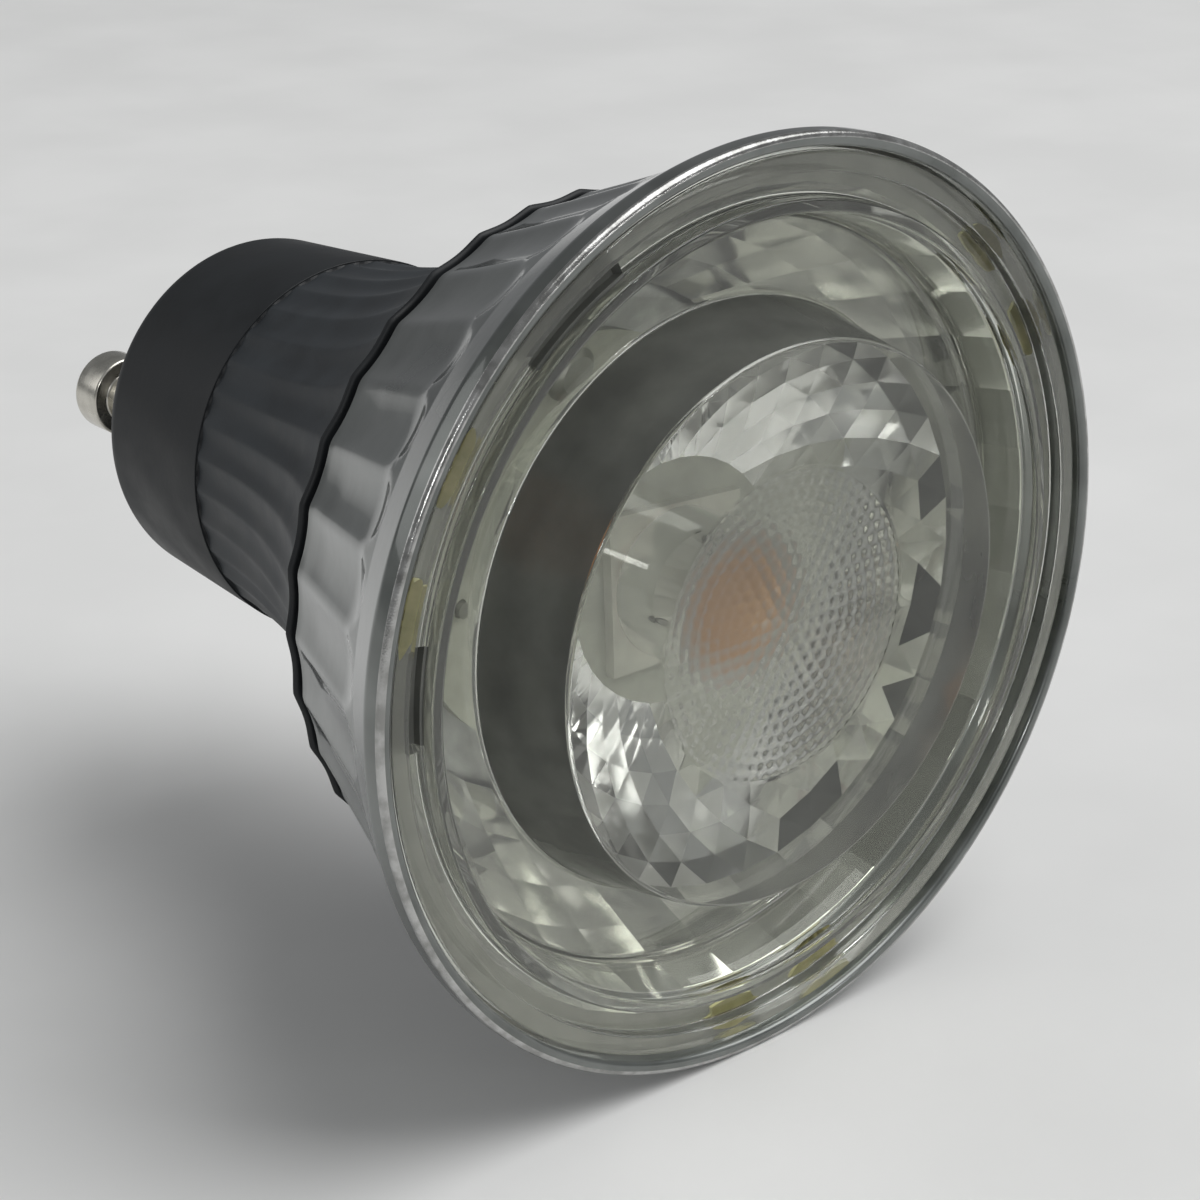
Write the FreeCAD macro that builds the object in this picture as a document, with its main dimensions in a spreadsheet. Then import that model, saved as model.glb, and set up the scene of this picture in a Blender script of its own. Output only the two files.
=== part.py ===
"""GU10 reflector lamp: fluted black base with two pins, scooped glass reflector and clear front lens.

The lamp lies along Y. Its beam leaves along -Y, its pins point along +Y and stand side by side along X.
The origin is the middle of the base's rear face, where the pins come out, and +Z is up.
Inside the source, q is the distance forward from that rear face, so Y = -q.
"""
import FreeCAD
import Part
import Sketcher
import math
import operator
import os

Vector = FreeCAD.Vector

# Driving dimensions in millimetres, degrees or counts
SIZES = {
    # base: rear bevel, smooth collar, trumpet that flares to the seam
    "collar_rear_radius": 10.65,
    "collar_draft": 0.7,
    "bevel_length": 2.4,
    "bevel_width": 2.35,
    "collar_front_q": 12.5,
    "collar_step": 0.1,
    "trumpet_front_radius": 19.6,
    "seam_q": 33.3,
    "trumpet_start_slope": 0.06,
    "base_wall": 1.4,
    "base_floor": 2.4,
    "base_bore_radius": 9.2,
    "flare_runs": 3,
    # flutes and facets that run round the base and the glass
    "flute_count": 36,
    "flute_rear_depth": 0.15,
    "flute_front_depth": 0.38,
    "flute_sections": 6,
    # contact pins
    "pin_spacing": 10.0,
    "pin_head_radius": 2.5,
    "pin_head_length": 2.6,
    "pin_head_bevel": 0.5,
    "pin_neck_radius": 1.6,
    "pin_length": 7.0,
    "pin_shank_radius": 1.5,
    "pin_collar_radius": 2.1,
    "pin_collar_length": 0.6,
    "pin_tail_radius": 1.0,
    "pin_tail_length": 2.0,
    "pin_bore_depth": 1.3,
    # glass reflector
    "glass_front_q": 48.0,
    "glass_rim_radius": 25.0,
    "glass_rim_band": 1.2,
    "glass_rim_wall": 0.8,
    "glass_rim_bevel": 0.3,
    "glass_flare_length": 2.8,
    "glass_flare_out": 1.5,
    "seam_step": 0.05,
    "seam_gap": 0.4,
    "glass_spigot_inset": 2.8,
    "glass_spigot_length": 1.9,
    "glass_spigot_wall": 2.4,
    "glass_ledge_depth": 2.1,
    "glass_ledge_width": 2.0,
    "mirror_bulge": 0.3,
    "mirror_rows": 5,
    "scoop_depth": 0.42,
    "scoop_end_length": 2.4,
    "scoop_tip_rows": 3,
    # front lens
    "lens_fit": 0.2,
    "lens_flange_thickness": 1.5,
    "lens_edge_band": 1.1,
    "lens_groove_width": 1.3,
    "lens_groove_depth": 0.8,
    "lens_slot_depth": 0.45,
    "lens_slot_margin": 0.15,
    "lens_inner_band": 0.7,
    "lens_well_taper": 0.7,
    "lens_well_depth": 3.8,
    "lens_wall": 0.75,
    "puck_top_radius": 15.0,
    "puck_taper": 1.0,
    "puck_rise": 1.9,
    "puck_dish_radius": 8.5,
    "puck_dish_depth": 0.5,
    "cone_inset": 0.8,
    "cone_foot_radius": 7.0,
    "cone_foot_land": 2.6,
    "cone_bulge": 0.34,
    "cone_rows": 6,
    "lens_cavity_height": 9.8,
    "lens_cavity_crown": 0.9,
    # glue dabs under the lens flange
    "dab_thickness": 0.2,
    "dab_edge_gap": 0.05,
    "dab_width": 1.6,
    "dab_angle": 9.0,
    # light engine
    "heat_sink_setback": 0.8,
    "heat_sink_length": 11.0,
    "heat_sink_plate": 1.6,
    "heat_sink_wall": 1.2,
    "heat_sink_fit": 0.15,
    "spigot_fit": 0.1,
    "thermal_pad_thickness": 0.2,
    "led_board_radius": 11.4,
    "led_board_thickness": 1.0,
    "substrate_width": 9.0,
    "substrate_thickness": 0.6,
    "phosphor_radius": 3.4,
    "phosphor_height": 0.4,
    "screw_circle_radius": 9.2,
    "screw_head_radius": 1.6,
    "screw_head_height": 1.0,
    "screw_shank_radius": 0.95,
    "screw_shank_length": 2.6,
    "screw_fit": 0.05,
    # driver
    "driver_board_thickness": 1.0,
    "driver_board_fit": 0.2,
    "driver_board_length": 21.6,
    "driver_board_top_z": -2.7,
    "bulk_capacitor_radius": 3.15,
    "bulk_capacitor_length": 10.0,
    "bulk_capacitor_q": 9.2,
    "bulk_capacitor_edge": 0.1,
    "inductor_radius": 3.0,
    "inductor_height": 5.2,
    "inductor_flange": 0.8,
    "inductor_waist_depth": 0.7,
    "inductor_q": 12.2,
    "inductor_edge": 0.3,
    "film_capacitor_width": 5.6,
    "film_capacitor_length": 3.4,
    "film_capacitor_height": 5.6,
    "film_capacitor_setback": 2.6,
    "film_capacitor_gap": 0.45,
    "film_capacitor_round": 0.5,
    "rectifier_width": 4.7,
    "rectifier_length": 3.9,
    "rectifier_height": 1.6,
    "rectifier_q": 7.5,
    "chip_width": 3.9,
    "chip_length": 4.9,
    "chip_height": 1.5,
    "chip_q": 14.0,
    "resistor_radius": 1.1,
    "resistor_length": 3.6,
    "resistor_q": 4.6,
    # wires
    "mains_wire_radius": 0.5,
    "mains_wire_run": 2.6,
    "led_wire_radius": 0.45,
    "led_wire_edge": 0.35,
    "led_wire_rear_q": 18.0,
    "led_wire_stub": 0.4,
    "wire_fit": 0.08,
}

# Angles of the glue dabs round the lens, from +X towards +Z, seen from the front
DAB_ANGLES = [29.0, 45.0, 147.0, 165.0, 268.0, 284.0]

# Middle and width of the two slots in the lens groove, as angles in degrees
LENS_SLOTS = [(123.5, 17.0), (175.5, 13.0)]

doc = FreeCAD.newDocument("gu10_lamp")
sheet = doc.addObject("Spreadsheet::Sheet", "Sizes")
for row, (alias, number) in enumerate(SIZES.items(), start=1):
    sheet.set(f"A{row}", alias)
    sheet.set(f"B{row}", str(number))
    sheet.setAlias(f"B{row}", alias)
doc.recompute()

# Turns a piece built along its own +Z so that it points along -Y, with its own +Y up
FORWARD = FreeCAD.Rotation(Vector(1, 0, 0), 90)


class Size:
    """A number together with the sheet expression that drives it."""

    def __init__(self, value, text):
        self.value = value
        self.text = text

    def __add__(self, other):
        return combine(operator.add, "+", self, other)

    def __sub__(self, other):
        return combine(operator.sub, "-", self, other)

    def __mul__(self, other):
        return combine(operator.mul, "*", self, other)

    def __truediv__(self, other):
        return combine(operator.truediv, "/", self, other)

    def __neg__(self):
        return Size(-self.value, f"(-{self.text})")


def as_size(number):
    """A plain number as a Size, so that it can be mixed with driven ones."""
    if isinstance(number, Size):
        return number
    return Size(float(number), str(number))


def combine(action, sign, left, right):
    """Joins two sizes, in value and in text."""
    left = as_size(left)
    right = as_size(right)
    return Size(action(left.value, right.value), f"({left.text} {sign} {right.text})")


def size(alias):
    """The driving dimension of this name."""
    return Size(float(sheet.get(alias)), f"Sizes.{alias}")


def square_root(number):
    return Size(math.sqrt(number.value), f"sqrt({number.text})")


def drive(item, prop, number):
    """Binds one property of a document object to the sheet."""
    item.setExpression(prop, as_size(number).text)


def place(item, x, q, z, rotation=FORWARD):
    """Puts a piece at x, q and z, and keeps its place tied to the sheet."""
    item.Placement = FreeCAD.Placement(Vector(0, 0, 0), rotation)
    drive(item, ".Placement.Base.x", x)
    drive(item, ".Placement.Base.y", as_size(q) * -1)
    drive(item, ".Placement.Base.z", z)


def new_body(label):
    """An empty body whose own +Z is the lamp's forward direction."""
    body = doc.addObject("PartDesign::Body", label)
    body.Label = label
    body.Placement = FreeCAD.Placement(Vector(0, 0, 0), FORWARD)
    return body


def origin_feature(body, role):
    return next(item for item in body.Origin.OriginFeatures if item.Role == role)


def new_sketch(body, name, role, offset=None):
    """A sketch on one of the body's own origin planes, lifted off it by offset."""
    sketch = body.newObject("Sketcher::SketchObject", name)
    sketch.AttachmentSupport = [(origin_feature(body, role), "")]
    sketch.MapMode = "FlatFace"
    if offset is not None:
        drive(sketch, ".AttachmentOffset.Base.z", offset)
    return sketch


def pin_point(sketch, index, position, x, y):
    """Fixes one point of a sketch at x and y, driven by the sheet."""
    for kind, axis, number in (("DistanceX", -2, x), ("DistanceY", -1, y)):
        number = as_size(number)
        if number.text in ("0", "0.0"):
            sketch.addConstraint(Sketcher.Constraint("PointOnObject", index, position, axis))
            continue
        sketch.addConstraint(Sketcher.Constraint(kind, -1, 1, index, position, number.value))
        drive(sketch, f"Constraints[{sketch.ConstraintCount - 1}]", number)


def bend_middle(start, end, radius, side):
    """The middle of the arc of this radius from start to end, bulging to the left (1) or right (-1)."""
    chord = end - start
    half = chord.Length / 2
    rise = radius - math.sqrt(radius ** 2 - half ** 2)
    normal = Vector(-chord.y, chord.x, 0).normalize()
    return (start + end) * 0.5 + normal * (side * rise)


def outline(sketch, corners, closed=True):
    """Draws straight runs and arcs through corners (x, y) or (x, y, arc radius, side) and fixes them."""
    points = [Vector(as_size(corner[0]).value, as_size(corner[1]).value, 0) for corner in corners]
    last = len(corners) if closed else len(corners) - 1
    ends = []
    for number in range(last):
        follow = (number + 1) % len(corners)
        start, end = points[number], points[follow]
        corner = corners[follow]
        if len(corner) == 2:
            index = sketch.addGeometry(Part.LineSegment(start, end), False)
            ends.append((index, 1, 2))
            continue
        middle = bend_middle(start, end, as_size(corner[2]).value, corner[3])
        clockwise = corner[3] > 0
        arc = Part.Arc(end, middle, start) if clockwise else Part.Arc(start, middle, end)
        index = sketch.addGeometry(arc, False)
        ends.append((index, 2, 1) if clockwise else (index, 1, 2))
    for number, (index, start_end, far_end) in enumerate(ends):
        pin_point(sketch, index, start_end, corners[number][0], corners[number][1])
        follow = (number + 1) % len(corners)
        corner = corners[follow]
        if follow < len(ends):
            link = Sketcher.Constraint("Coincident", index, far_end, ends[follow][0], ends[follow][1])
            sketch.addConstraint(link)
        else:
            pin_point(sketch, index, far_end, corner[0], corner[1])
        if len(corner) == 4:
            sketch.addConstraint(Sketcher.Constraint("Radius", index, as_size(corner[2]).value))
            drive(sketch, f"Constraints[{sketch.ConstraintCount - 1}]", corner[2])


def circle(sketch, x, y, radius):
    """Draws one driven circle."""
    centre = Vector(as_size(x).value, as_size(y).value, 0)
    index = sketch.addGeometry(Part.Circle(centre, Vector(0, 0, 1), as_size(radius).value), False)
    pin_point(sketch, index, 3, x, y)
    sketch.addConstraint(Sketcher.Constraint("Radius", index, as_size(radius).value))
    drive(sketch, f"Constraints[{sketch.ConstraintCount - 1}]", radius)


def revolve(body, name, corners):
    """Turns an outline of (radius, q) corners about the body's axis."""
    sketch = new_sketch(body, f"{name}_outline", "XZ_Plane")
    outline(sketch, corners)
    feature = body.newObject("PartDesign::Revolution", name)
    feature.Profile = sketch
    feature.ReferenceAxis = (sketch, ["V_Axis"])
    feature.Angle = 360
    body.Tip = feature
    doc.recompute()
    return feature


def drill(body, name, spots, radius, plane_q=0, depth=None):
    """Cuts round holes forward from the plane at plane_q, right through or to a depth."""
    sketch = new_sketch(body, f"{name}_places", "XY_Plane", plane_q)
    for x, y in spots:
        circle(sketch, x, y, radius)
    before = body.Shape.Volume
    pocket = body.newObject("PartDesign::Pocket", name)
    pocket.Profile = sketch
    pocket.Reversed = True
    if depth is None:
        pocket.Type = 1
    else:
        drive(pocket, "Length", depth)
    body.Tip = pocket
    doc.recompute()
    if body.Shape.Volume >= before:
        raise RuntimeError(f"{name} cuts nothing")
    return pocket


class Flare:
    """The arc of the trumpet's outside and the arcs parallel to it, in radius and q."""

    def __init__(self, rear_radius, front_radius, rear_q, front_q, slope):
        run = front_q - rear_q
        rise = front_radius - rear_radius
        lean = square_root(slope * slope + 1)
        self.radius = (run * run + rise * rise) / ((rise - slope * run) / lean * 2)
        self.centre_q = rear_q - self.radius * slope / lean
        self.centre_radius = rear_radius + self.radius / lean

    def at(self, q, inset=0):
        """The arc's distance from the axis at q, moved inwards by inset."""
        reach = self.radius + inset
        along = q - self.centre_q
        return self.centre_radius - square_root(reach * reach - along * along)


def collar_front_radius():
    return size("collar_rear_radius") + size("collar_draft")


def trumpet_flare():
    return Flare(
        collar_front_radius() - size("collar_step"),
        size("trumpet_front_radius"),
        size("collar_front_q"),
        size("seam_q"),
        size("trumpet_start_slope"),
    )


def flare_corners(inset, rear_q, front_q):
    """Corners along the trumpet's arc, moved inwards by inset, as a run of short cones."""
    flare = trumpet_flare()
    runs = int(size("flare_runs").value)
    corners = []
    for number in range(runs + 1):
        q = rear_q + (front_q - rear_q) * (number / runs)
        corners.append((flare.at(q, inset), q))
    return corners


def spigot_rear_q():
    """Where the glass spigot ends and rests on the base."""
    return size("seam_q") + size("seam_gap") - size("glass_spigot_length")


def spigot_radius():
    return size("trumpet_front_radius") - size("glass_spigot_inset")


def scoop_end_q():
    """Where the scoops end and the rim starts to flare out."""
    return size("glass_front_q") - size("glass_rim_band") - size("glass_flare_length")


def waist_radius():
    return size("glass_rim_radius") - size("glass_flare_out")


def ledge_q():
    """The ledge inside the rim that carries the lens."""
    return size("glass_front_q") - size("glass_ledge_depth")


def ledge_radius():
    return size("glass_rim_radius") - size("glass_rim_wall")


def lens_edge_radius():
    return ledge_radius() - size("lens_fit")


def groove_outer_radius():
    return lens_edge_radius() - size("lens_edge_band")


def groove_inner_radius():
    return groove_outer_radius() - size("lens_groove_width")


def flange_rear_q():
    return ledge_q() + size("dab_thickness")


def flange_front_q():
    return flange_rear_q() + size("lens_flange_thickness")


def groove_q():
    return flange_front_q() - size("lens_groove_depth")


def fluted_wire(name, radius, depth, q):
    """A ring of hollow arcs with ridges at this radius; with no depth the arcs make a circle."""
    count = int(size("flute_count").value)
    pitch = 2 * math.pi / count

    def spot(turn, reach):
        return Vector(reach * math.cos(turn), reach * math.sin(turn), q)

    arcs = []
    for number in range(count):
        start = spot(pitch * number, radius)
        middle = spot(pitch * (number + 0.5), radius - depth)
        end = spot(pitch * (number + 1), radius)
        arcs.append(Part.Arc(start, middle, end).toShape())
    ring = doc.addObject("Part::Feature", name)
    ring.Shape = Part.Wire(arcs)
    ring.Placement = FreeCAD.Placement(Vector(0, 0, 0), FORWARD)
    return ring


def fluted_loft(name, stations):
    """A solid of straight rows through fluted rings at stations (radius, flute depth, q)."""
    loft = doc.addObject("Part::Loft", name)
    rings = enumerate(stations, start=1)
    loft.Sections = [fluted_wire(f"{name}_ring_{number}", *station) for number, station in rings]
    loft.Solid = True
    loft.Ruled = True
    return loft


def joined(kind, name, base, tool):
    """The fuse or cut of two document objects."""
    result = doc.addObject(kind, name)
    result.Label = name
    result.Base = base
    result.Tool = tool
    return result


# Base


def trumpet():
    """The flared front of the base, with hollow flutes that deepen towards the seam."""
    flare = trumpet_flare()
    rear_q = size("collar_front_q").value
    front_q = size("seam_q").value
    rear_depth = size("flute_rear_depth").value
    front_depth = size("flute_front_depth").value
    last = int(size("flute_sections").value) - 1
    stations = []
    for number in range(last + 1):
        part = number / last
        q = rear_q + (front_q - rear_q) * part
        depth = rear_depth + (front_depth - rear_depth) * part
        stations.append((flare.at(as_size(q)).value, depth, q))
    return fluted_loft("trumpet", stations)


def base_housing():
    """Hollow black moulding: fluted trumpet, smooth collar, bevelled rear end and a floor for the pins."""
    collar = new_body("collar")
    collar_q = size("collar_front_q")
    corners = [
        (0, 0),
        (size("collar_rear_radius") - size("bevel_width"), 0),
        (size("collar_rear_radius"), size("bevel_length")),
        (collar_front_radius(), collar_q),
        (0, collar_q),
    ]
    revolve(collar, "collar_turning", corners)
    inside = new_body("inside")
    socket = spigot_radius() + size("spigot_fit")
    corners = [
        (0, size("base_floor")),
        (size("base_bore_radius"), size("base_floor")),
        (size("base_bore_radius"), collar_q),
        *flare_corners(size("base_wall"), collar_q, spigot_rear_q()),
        (socket, spigot_rear_q()),
        (socket, size("seam_q")),
        (0, size("seam_q")),
    ]
    revolve(inside, "inside_turning", corners)
    solid = joined("Part::Fuse", "base_solid", trumpet(), collar)
    shell = joined("Part::Cut", "base_shell", solid, inside)
    for side, label in ((-1, "base_one_hole"), (1, "base_housing")):
        hole = rod(f"{label}_drill", size("pin_spacing") / 2 * side, 0, 0,
                   size("pin_shank_radius"), size("base_floor"))
        shell = joined("Part::Cut", label, shell, hole)
    return shell


def contact_pin(label, side):
    """Turned pin: rounded head, neck, shank through the floor, riveted collar and a bored tail."""
    body = new_body(label)
    length = size("pin_length")
    head = size("pin_head_length")
    inside = length + size("base_floor")
    collar = inside + size("pin_collar_length")
    tail = collar + size("pin_tail_length")
    edge = size("pin_head_bevel")
    corners = [
        (0, 0),
        (size("pin_head_radius") - edge, 0),
        (size("pin_head_radius"), edge),
        (size("pin_head_radius"), head),
        (size("pin_neck_radius"), head),
        (size("pin_neck_radius"), length),
        (size("pin_shank_radius"), length),
        (size("pin_shank_radius"), inside),
        (size("pin_collar_radius"), inside),
        (size("pin_collar_radius"), collar),
        (size("pin_tail_radius"), collar),
        (size("pin_tail_radius"), tail),
        (size("mains_wire_radius") + size("wire_fit"), tail),
        (size("mains_wire_radius") + size("wire_fit"), tail - size("pin_bore_depth")),
        (0, tail - size("pin_bore_depth")),
    ]
    revolve(body, f"{label}_turning", corners)
    place(body, size("pin_spacing") / 2 * side, -length, 0)
    return body


# Glass and lens


def faceted_solid(rings, count, twist):
    """A closed solid of flat facets through rings (radius, q); twist turns every second one half a facet."""
    step = 2 * math.pi / count

    def corner(level, number):
        radius, q = rings[level]
        turn = step * (number + (0.5 if twist and level % 2 else 0))
        return Vector(radius * math.cos(turn), radius * math.sin(turn), q)

    polygons = []
    for level in range(len(rings) - 1):
        for number in range(count):
            near = [corner(level, number), corner(level, number + 1)]
            far = [corner(level + 1, number), corner(level + 1, number + 1)]
            if not twist:
                polygons.append([near[0], near[1], far[1], far[0]])
            elif level % 2:
                polygons.append([near[0], near[1], far[1]])
                polygons.append([near[0], far[1], far[0]])
            else:
                polygons.append([near[0], near[1], far[0]])
                polygons.append([near[1], far[1], far[0]])
    polygons.append([corner(0, number) for number in range(count)])
    polygons.append([corner(len(rings) - 1, number) for number in range(count)])
    faces = [Part.Face(Part.makePolygon(points + points[:1])) for points in polygons]
    shell = Part.makeShell(faces)
    shell.sewShape()
    solid = Part.makeSolid(shell)
    if solid.Volume < 0:
        solid.reverse()
    return solid


def bulging_rings(rear, front, rear_q, front_q, bulge, rows):
    """Ring radii from rear to front along a line that bulges outwards like a shallow bowl."""
    rings = []
    for number in range(rows + 1):
        part = number / rows
        radius = rear + (front - rear) * (part + bulge * part * (1 - part))
        rings.append((radius, rear_q + (front_q - rear_q) * part))
    return rings


def mirror_hollow():
    """The hollow of the reflector: rows of flat facets from the spigot to the lens ledge."""
    rings = bulging_rings(
        (spigot_radius() - size("glass_spigot_wall")).value,
        (ledge_radius() - size("glass_ledge_width")).value,
        spigot_rear_q().value,
        ledge_q().value,
        size("mirror_bulge").value,
        int(size("mirror_rows").value),
    )
    hollow = doc.addObject("Part::Feature", "mirror_hollow")
    hollow.Shape = faceted_solid(rings, int(size("flute_count").value), False)
    hollow.Placement = FreeCAD.Placement(Vector(0, 0, 0), FORWARD)
    return hollow


def scooped_cone():
    """The lower outside of the cup: hollow scoops that run from the seam and end in rounded tips."""
    rear_q = (size("seam_q") + size("seam_gap")).value
    end_q = scoop_end_q().value
    tip = size("scoop_end_length").value
    rear = (size("trumpet_front_radius") - size("seam_step")).value
    front = waist_radius().value
    depth = size("scoop_depth").value
    rows = int(size("scoop_tip_rows").value)
    stations = [(rear, depth, rear_q)]
    for number in range(rows + 1):
        turn = math.pi / 2 * number / rows
        q = end_q - tip * (1 - math.sin(turn))
        radius = rear + (front - rear) * (q - rear_q) / (end_q - rear_q)
        stations.append((radius, depth * math.cos(turn), q))
    return fluted_loft("scooped_cone", stations)


def glass_reflector():
    """Pressed glass cup: scooped outside, flared rim, ledge for the lens and mirrored facets inside."""
    body = new_body("glass_turning")
    rim = size("glass_rim_radius")
    front = size("glass_front_q")
    edge = size("glass_rim_bevel")
    ledge = ledge_radius()
    corners = [
        (0, scoop_end_q()),
        (waist_radius(), scoop_end_q()),
        (rim, front - size("glass_rim_band")),
        (rim, front - edge),
        (rim - edge, front),
        (ledge + edge, front),
        (ledge, front - edge),
        (ledge, ledge_q()),
        (0, ledge_q()),
    ]
    revolve(body, "rim_turning", corners)
    spigot = rod("spigot", 0, spigot_rear_q(), 0, spigot_radius(), size("glass_spigot_length"))
    cup = joined("Part::Fuse", "cup", scooped_cone(), body)
    cup = joined("Part::Fuse", "cup_and_spigot", cup, spigot)
    return joined("Part::Cut", "glass_reflector", cup, mirror_hollow())


def lens_foot_q():
    """Where the collimator ends, just above the LED's carrier."""
    return led_top_q() + size("phosphor_height") / 2


def lens_front():
    """The turned front of the lens: grooved flange, annular well and raised middle with a shallow dish."""
    body = new_body("lens_front")
    flange_front = flange_front_q()
    floor_front = flange_front - size("lens_well_depth")
    floor_rear = floor_front - size("lens_wall")
    puck_front = flange_front + size("puck_rise")
    dish_q = puck_front - size("puck_dish_depth")
    well_top = groove_inner_radius() - size("lens_inner_band")
    well_foot = well_top - size("lens_well_taper")
    corners = [
        (0, floor_rear),
        (well_foot, floor_rear),
        (well_top + size("lens_wall"), flange_rear_q()),
        (lens_edge_radius(), flange_rear_q()),
        (lens_edge_radius(), flange_front),
        (groove_outer_radius(), flange_front),
        (groove_outer_radius(), groove_q()),
        (groove_inner_radius(), groove_q()),
        (groove_inner_radius(), flange_front),
        (well_top, flange_front),
        (well_foot, floor_front),
        (size("puck_top_radius") + size("puck_taper"), floor_front),
        (size("puck_top_radius"), puck_front),
        (size("puck_dish_radius"), dish_q),
        (0, dish_q),
    ]
    revolve(body, "lens_turning", corners)
    return body, floor_rear


def lens_cone(front_q):
    """The collimator behind the lens: rows of diamond facets that narrow towards the LED."""
    cone = doc.addObject("Part::Feature", "lens_cone")
    rings = bulging_rings(
        size("cone_foot_radius").value,
        (size("puck_top_radius") + size("puck_taper") - size("cone_inset")).value,
        lens_foot_q().value,
        front_q.value,
        size("cone_bulge").value,
        int(size("cone_rows").value),
    )
    cone.Shape = faceted_solid(rings, int(size("flute_count").value), True)
    cone.Placement = FreeCAD.Placement(Vector(0, 0, 0), FORWARD)
    return cone


def lens_cavity():
    """The hollow over the LED, with a crown that bulges back towards it."""
    cavity = new_body("lens_cavity")
    radius = size("cone_foot_radius") - size("cone_foot_land")
    crown_q = lens_foot_q() + size("lens_cavity_height")
    crown = size("lens_cavity_crown")
    corners = [
        (0, lens_foot_q()),
        (radius, lens_foot_q()),
        (radius, crown_q),
        (0, crown_q - crown, (radius * radius + crown * crown) / (crown * 2), 1),
    ]
    revolve(cavity, "cavity_turning", corners)
    return cavity


def ring_sector(name, inner, outer, q, height, middle, width):
    """A flat piece of a ring between two radii, from q forward, round a middle angle."""
    pieces = []
    for label, radius in (("outside", outer), ("inside", inner)):
        item = doc.addObject("Part::Cylinder", f"{name}_{label}")
        drive(item, "Radius", radius)
        drive(item, "Height", height)
        drive(item, "Angle", width)
        turn = FreeCAD.Rotation(Vector(0, 0, 1), middle - as_size(width).value / 2)
        place(item, 0, q, 0, FORWARD.multiply(turn))
        pieces.append(item)
    return joined("Part::Cut", name, *pieces)


def front_lens():
    """One clear moulding: turned front, faceted collimator, hollow over the LED and slots in the groove."""
    body, floor_rear = lens_front()
    lens = joined("Part::Fuse", "lens_solid", body, lens_cone(floor_rear))
    inner = groove_inner_radius() + size("lens_slot_margin")
    outer = groove_outer_radius() - size("lens_slot_margin")
    depth = size("lens_slot_depth")
    for number, (middle, width) in enumerate(LENS_SLOTS, start=1):
        slot = ring_sector(f"lens_slot_{number}", inner, outer, groove_q() - depth, depth, middle, width)
        lens = joined("Part::Cut", f"lens_with_slot_{number}", lens, slot)
    return joined("Part::Cut", "front_lens", lens, lens_cavity())


def lens_adhesive():
    """Dabs of glue between the lens flange and the glass ledge."""
    outer = lens_edge_radius() - size("dab_edge_gap")
    inner = outer - size("dab_width")
    group = doc.addObject("Part::Compound", "lens_adhesive")
    group.Label = "lens_adhesive"
    thickness = size("dab_thickness")
    width = size("dab_angle")
    group.Links = [
        ring_sector(f"dab_{number}", inner, outer, ledge_q(), thickness, angle, width)
        for number, angle in enumerate(DAB_ANGLES, start=1)
    ]
    return group


# Light engine


def heat_sink_front_q():
    """The flat front of the heat sink, a little behind the glass spigot."""
    return spigot_rear_q() - size("heat_sink_setback")


def led_board_rear_q():
    return heat_sink_front_q() + size("thermal_pad_thickness")


def led_board_front_q():
    return led_board_rear_q() + size("led_board_thickness")


def led_top_q():
    return led_board_front_q() + size("substrate_thickness")


def led_wire_y():
    """Height of the wires that lie on the driver board."""
    return size("driver_board_top_z") + size("led_wire_radius")


def led_wire_x():
    """Distance of those wires from the middle, near the board's edges."""
    return driver_board_width() / 2 - size("led_wire_edge") - size("led_wire_radius")


def led_wire_spots():
    return [(led_wire_x(), led_wire_y()), (-led_wire_x(), led_wire_y())]


def screw_spots():
    return [(0, size("screw_circle_radius")), (0, -size("screw_circle_radius"))]


def heat_sink():
    """Pressed aluminium trumpet cup inside the base, with a flat front for the LED board."""
    body = new_body("heat_sink")
    outer = size("base_wall") + size("heat_sink_fit")
    inner = outer + size("heat_sink_wall")
    front = heat_sink_front_q()
    rear = front - size("heat_sink_length")
    plate = front - size("heat_sink_plate")
    corners = [
        (0, plate),
        *reversed(flare_corners(inner, rear, plate)),
        *flare_corners(outer, rear, front),
        (0, front),
    ]
    revolve(body, "sink_pressing", corners)
    drill(body, "sink_screw_holes", screw_spots(), size("screw_shank_radius") + size("screw_fit"))
    drill(body, "sink_wire_holes", led_wire_spots(), size("led_wire_radius") + size("wire_fit"))
    return body


def round_plate(label, radius, rear_q, thickness):
    """A round plate on the axis with the screw and wire holes in it."""
    body = new_body(label)
    sketch = new_sketch(body, f"{label}_circle", "XY_Plane", rear_q)
    circle(sketch, 0, 0, radius)
    pad = body.newObject("PartDesign::Pad", f"{label}_plate")
    pad.Profile = sketch
    drive(pad, "Length", thickness)
    body.Tip = pad
    doc.recompute()
    drill(body, f"{label}_screw_holes", screw_spots(), size("screw_shank_radius") + size("screw_fit"))
    drill(body, f"{label}_wire_holes", led_wire_spots(), size("led_wire_radius") + size("wire_fit"))
    return body


def led_substrate():
    """Square ceramic carrier of the LED."""
    body = new_body("led_substrate")
    sketch = new_sketch(body, "substrate_square", "XY_Plane", led_board_front_q())
    half = size("substrate_width") / 2
    outline(sketch, [(-half, -half), (half, -half), (half, half), (-half, half)])
    pad = body.newObject("PartDesign::Pad", "substrate_plate")
    pad.Profile = sketch
    drive(pad, "Length", size("substrate_thickness"))
    body.Tip = pad
    return body


def led_phosphor():
    """Round patch of phosphor with a shallow edge bevel."""
    body = new_body("led_phosphor")
    radius = size("phosphor_radius")
    top = led_top_q() + size("phosphor_height")
    corners = [
        (0, led_top_q()),
        (radius, led_top_q()),
        (radius, led_top_q() + size("phosphor_height") / 2),
        (radius - size("phosphor_height") / 2, top),
        (0, top),
    ]
    revolve(body, "phosphor_patch", corners)
    return body


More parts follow.
